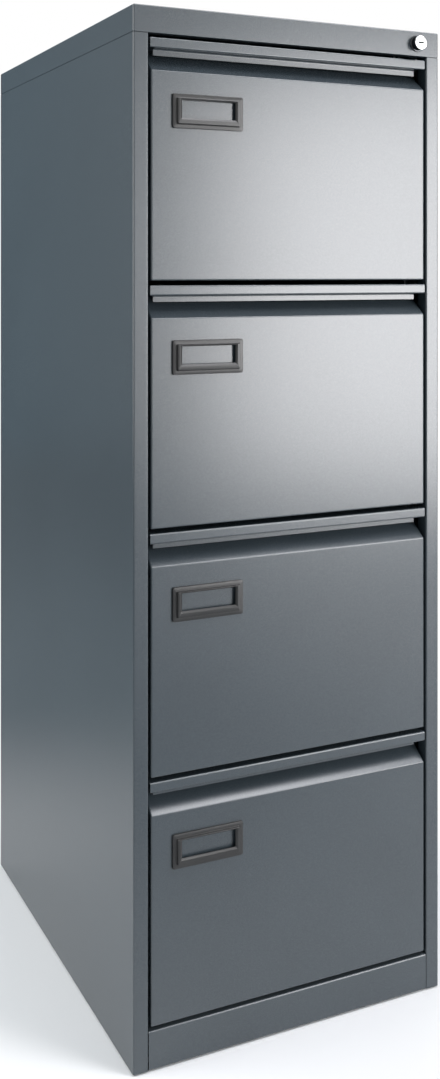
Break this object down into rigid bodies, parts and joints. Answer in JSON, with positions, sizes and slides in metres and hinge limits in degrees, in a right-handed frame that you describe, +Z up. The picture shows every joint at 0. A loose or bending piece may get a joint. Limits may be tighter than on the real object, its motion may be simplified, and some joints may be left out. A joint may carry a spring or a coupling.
{
  "type": "filing cabinet",
  "caption": "Tall steel filing cabinet: stacked drawers with full-width recessed pulls and label holders, telescopic runners and a push-in cylinder lock at the top right.",
  "frame": {"origin": "on the floor, under the centre of the whole cabinet's bounding box", "axes": "+Z up, the drawer fronts face -Y, +X to the right of someone facing the fronts"},
  "size_m": [0.45, 0.631, 1.32],
  "materials": {
    "carcass_paint": "semi-gloss anthracite grey powder coat with a faint orange-peel texture",
    "drawer_paint": "semi-gloss anthracite grey powder coat with a faint orange-peel texture",
    "zinc_steel": "bright zinc-plated steel",
    "ball_steel": "ground steel balls in a steel strip",
    "label_plastic": "black moulded plastic, satin",
    "lock_chrome": "bright chrome plate",
    "foot_plastic": "black moulded plastic",
    "pale_nylon": "natural nylon",
    "spring_steel": "plain spring steel"
  },
  "bodies": {
    "carcass": {"side_panel_left": "carcass_paint", "side_panel_right": "carcass_paint", "back_panel": "carcass_paint", "top_cap": "carcass_paint", "plinth_rail": "carcass_paint", "base_pan": "carcass_paint", "levelling_feet": "foot_plastic", "runner_posts_left": "carcass_paint", "runner_posts_right": "carcass_paint", "cabinet_runners_1": "zinc_steel", "cabinet_runners_2": "zinc_steel", "cabinet_runners_3": "zinc_steel", "cabinet_runners_4": "zinc_steel", "runner_screws": "zinc_steel", "lock_housing": "lock_chrome", "lock_nut": "zinc_steel", "lock_spring": "spring_steel", "crank_bracket": "carcass_paint", "bar_guides": "pale_nylon"},
    "drawer_1": {"drawer_front_1": "drawer_paint", "pull_rail_1": "drawer_paint", "drawer_liner_1": "drawer_paint", "drawer_tray_1": "drawer_paint", "hanging_rails_1": "zinc_steel", "label_holder_1": "label_plastic", "drawer_runners_1": "zinc_steel"},
    "drawer_2": {"drawer_front_2": "drawer_paint", "pull_rail_2": "drawer_paint", "drawer_liner_2": "drawer_paint", "drawer_tray_2": "drawer_paint", "hanging_rails_2": "zinc_steel", "label_holder_2": "label_plastic", "drawer_runners_2": "zinc_steel"},
    "drawer_3": {"drawer_front_3": "drawer_paint", "pull_rail_3": "drawer_paint", "drawer_liner_3": "drawer_paint", "drawer_tray_3": "drawer_paint", "hanging_rails_3": "zinc_steel", "label_holder_3": "label_plastic", "drawer_runners_3": "zinc_steel"},
    "drawer_4": {"drawer_front_4": "drawer_paint", "pull_rail_4": "drawer_paint", "drawer_liner_4": "drawer_paint", "drawer_tray_4": "drawer_paint", "hanging_rails_4": "zinc_steel", "label_holder_4": "label_plastic", "drawer_runners_4": "zinc_steel"},
    "middle_1": {"middle_runners_1": "zinc_steel", "ball_cages_1": "ball_steel"},
    "middle_2": {"middle_runners_2": "zinc_steel", "ball_cages_2": "ball_steel"},
    "middle_3": {"middle_runners_3": "zinc_steel", "ball_cages_3": "ball_steel"},
    "middle_4": {"middle_runners_4": "zinc_steel", "ball_cages_4": "ball_steel"},
    "barrel": {"lock_barrel": "lock_chrome"},
    "plug": {"key_plug": "lock_chrome"},
    "crank": {"lock_crank": "zinc_steel"},
    "bar": {"lock_bar": "zinc_steel"}
  },
  "joints": [
    {"name": "drawer_1_slide", "type": "slide", "parent": "carcass", "child": "drawer_1", "axis": [0, -1, 0], "range_m": [0, 0.54]},
    {"name": "drawer_2_slide", "type": "slide", "parent": "carcass", "child": "drawer_2", "axis": [0, -1, 0], "range_m": [0, 0.54]},
    {"name": "drawer_3_slide", "type": "slide", "parent": "carcass", "child": "drawer_3", "axis": [0, -1, 0], "range_m": [0, 0.54]},
    {"name": "drawer_4_slide", "type": "slide", "parent": "carcass", "child": "drawer_4", "axis": [0, -1, 0], "range_m": [0, 0.54]},
    {"name": "middle_1_slide", "type": "slide", "parent": "carcass", "child": "middle_1", "axis": [0, -1, 0], "range_m": [0, 0.27]},
    {"name": "middle_2_slide", "type": "slide", "parent": "carcass", "child": "middle_2", "axis": [0, -1, 0], "range_m": [0, 0.27]},
    {"name": "middle_3_slide", "type": "slide", "parent": "carcass", "child": "middle_3", "axis": [0, -1, 0], "range_m": [0, 0.27]},
    {"name": "middle_4_slide", "type": "slide", "parent": "carcass", "child": "middle_4", "axis": [0, -1, 0], "range_m": [0, 0.27]},
    {"name": "lock_push", "type": "slide", "parent": "carcass", "child": "barrel", "axis": [0, 1, 0], "range_m": [0, 0.008], "stiffness_N_per_m": 500, "springref_m": -0.01, "deforming": ["lock_spring"]},
    {"name": "key_turn", "type": "hinge", "parent": "barrel", "child": "plug", "pos_m": [0.19, -0.3145, 1.303], "axis": [0, -1, 0], "range_deg": [0, 90]},
    {"name": "crank_turn", "type": "hinge", "parent": "carcass", "child": "crank", "pos_m": [0.19, -0.2445, 1.288], "axis": [-1, 0, 0], "range_deg": [0, 32]},
    {"name": "bar_lift", "type": "slide", "parent": "carcass", "child": "bar", "axis": [0, 0, 1], "range_m": [0, 0.01]}
  ],
  "couplings": [
    {"joint": "middle_1_slide", "follows": "drawer_1_slide", "ratio": 0.5},
    {"joint": "middle_2_slide", "follows": "drawer_2_slide", "ratio": 0.5},
    {"joint": "middle_3_slide", "follows": "drawer_3_slide", "ratio": 0.5},
    {"joint": "middle_4_slide", "follows": "drawer_4_slide", "ratio": 0.5},
    {"joint": "crank_turn", "follows": "lock_push", "rad_per_m": 69.8},
    {"joint": "bar_lift", "follows": "lock_push", "ratio": 1.25}
  ]
}
